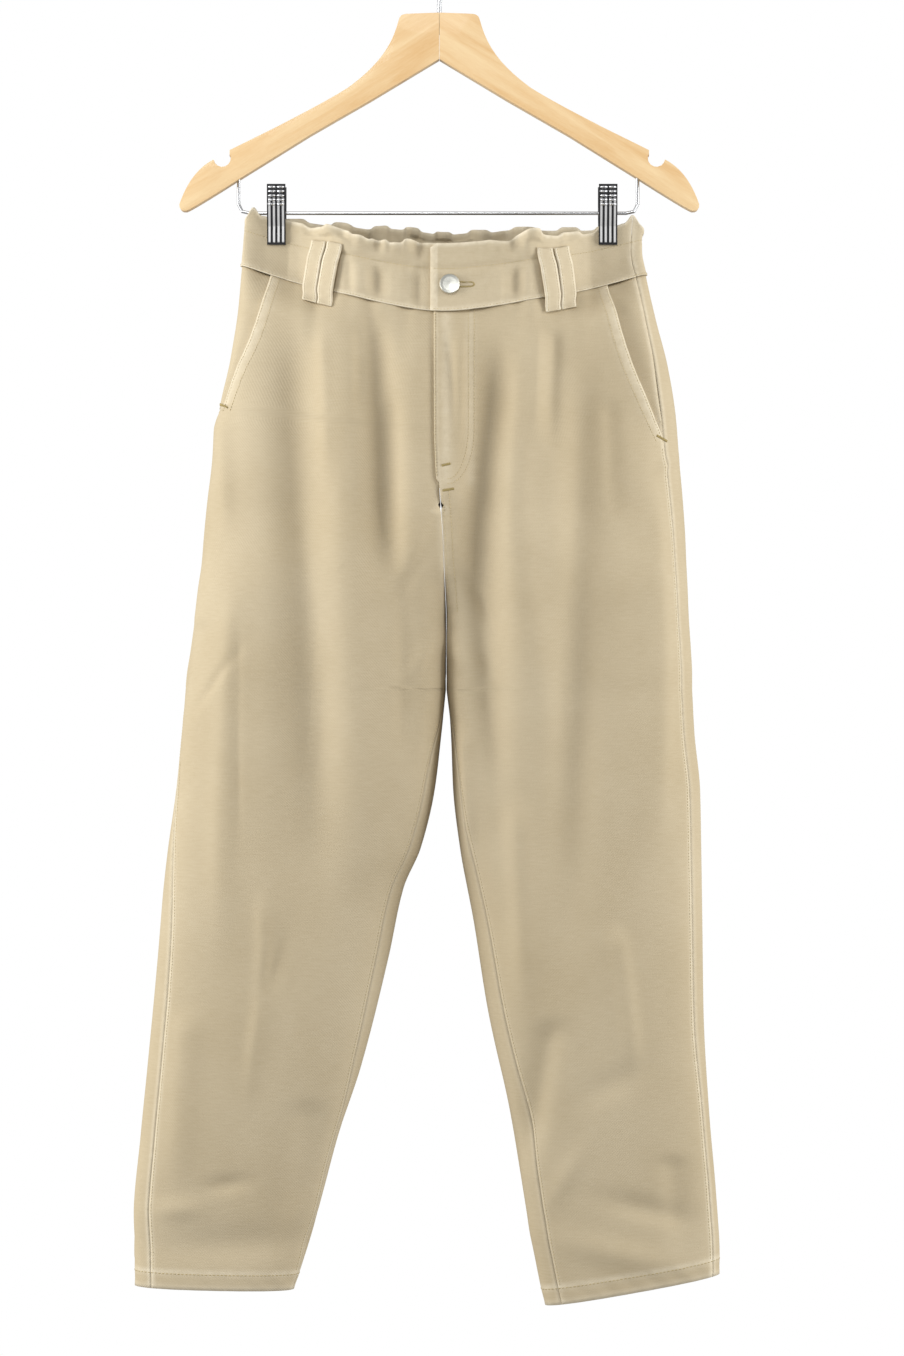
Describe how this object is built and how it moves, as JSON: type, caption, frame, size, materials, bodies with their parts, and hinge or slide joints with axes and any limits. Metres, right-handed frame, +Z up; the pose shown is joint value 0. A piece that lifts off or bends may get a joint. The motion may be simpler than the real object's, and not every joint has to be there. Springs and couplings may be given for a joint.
{
  "type": "trousers on a hanger",
  "caption": "High-waisted paperbag jeans with tapered legs, hung by clips from a wooden trouser hanger.",
  "frame": {"origin": "the point inside the top of the hanger's hook that rests on the rail", "axes": "+Z up, -Y the front of the garment, +X the wearer's left"},
  "size_m": [0.5053, 0.1359, 1.1998],
  "materials": {
    "twill": "brushed cotton twill, khaki",
    "button_metal": "satin silver",
    "hanger_wood": "pale beech, satin lacquer",
    "wire": "plated wire",
    "clip_metal": "dark plated steel"
  },
  "bodies": {
    "root": {"front_left": "twill", "front_right": "twill", "back_left": "twill", "back_right": "twill", "pocket_facing_left": "twill", "pocket_facing_right": "twill", "waistband_left": "twill", "waistband_right": "twill", "waistband_back": "twill", "belt_loop_front_right_outer": "twill", "belt_loop_front_right_inner": "twill", "belt_loop_front_left_inner": "twill", "belt_loop_front_left_outer": "twill", "belt_loop_back_left": "twill", "belt_loop_back_right": "twill", "button": "button_metal", "hanger_arm_left": "hanger_wood", "hanger_arm_right": "hanger_wood", "hook": "wire", "clip_bar": "wire", "clip_left_front": "clip_metal", "clip_left_back": "clip_metal", "clip_left_spring": "wire", "clip_right_front": "clip_metal", "clip_right_back": "clip_metal", "clip_right_spring": "wire"}
  },
  "joints": []
}
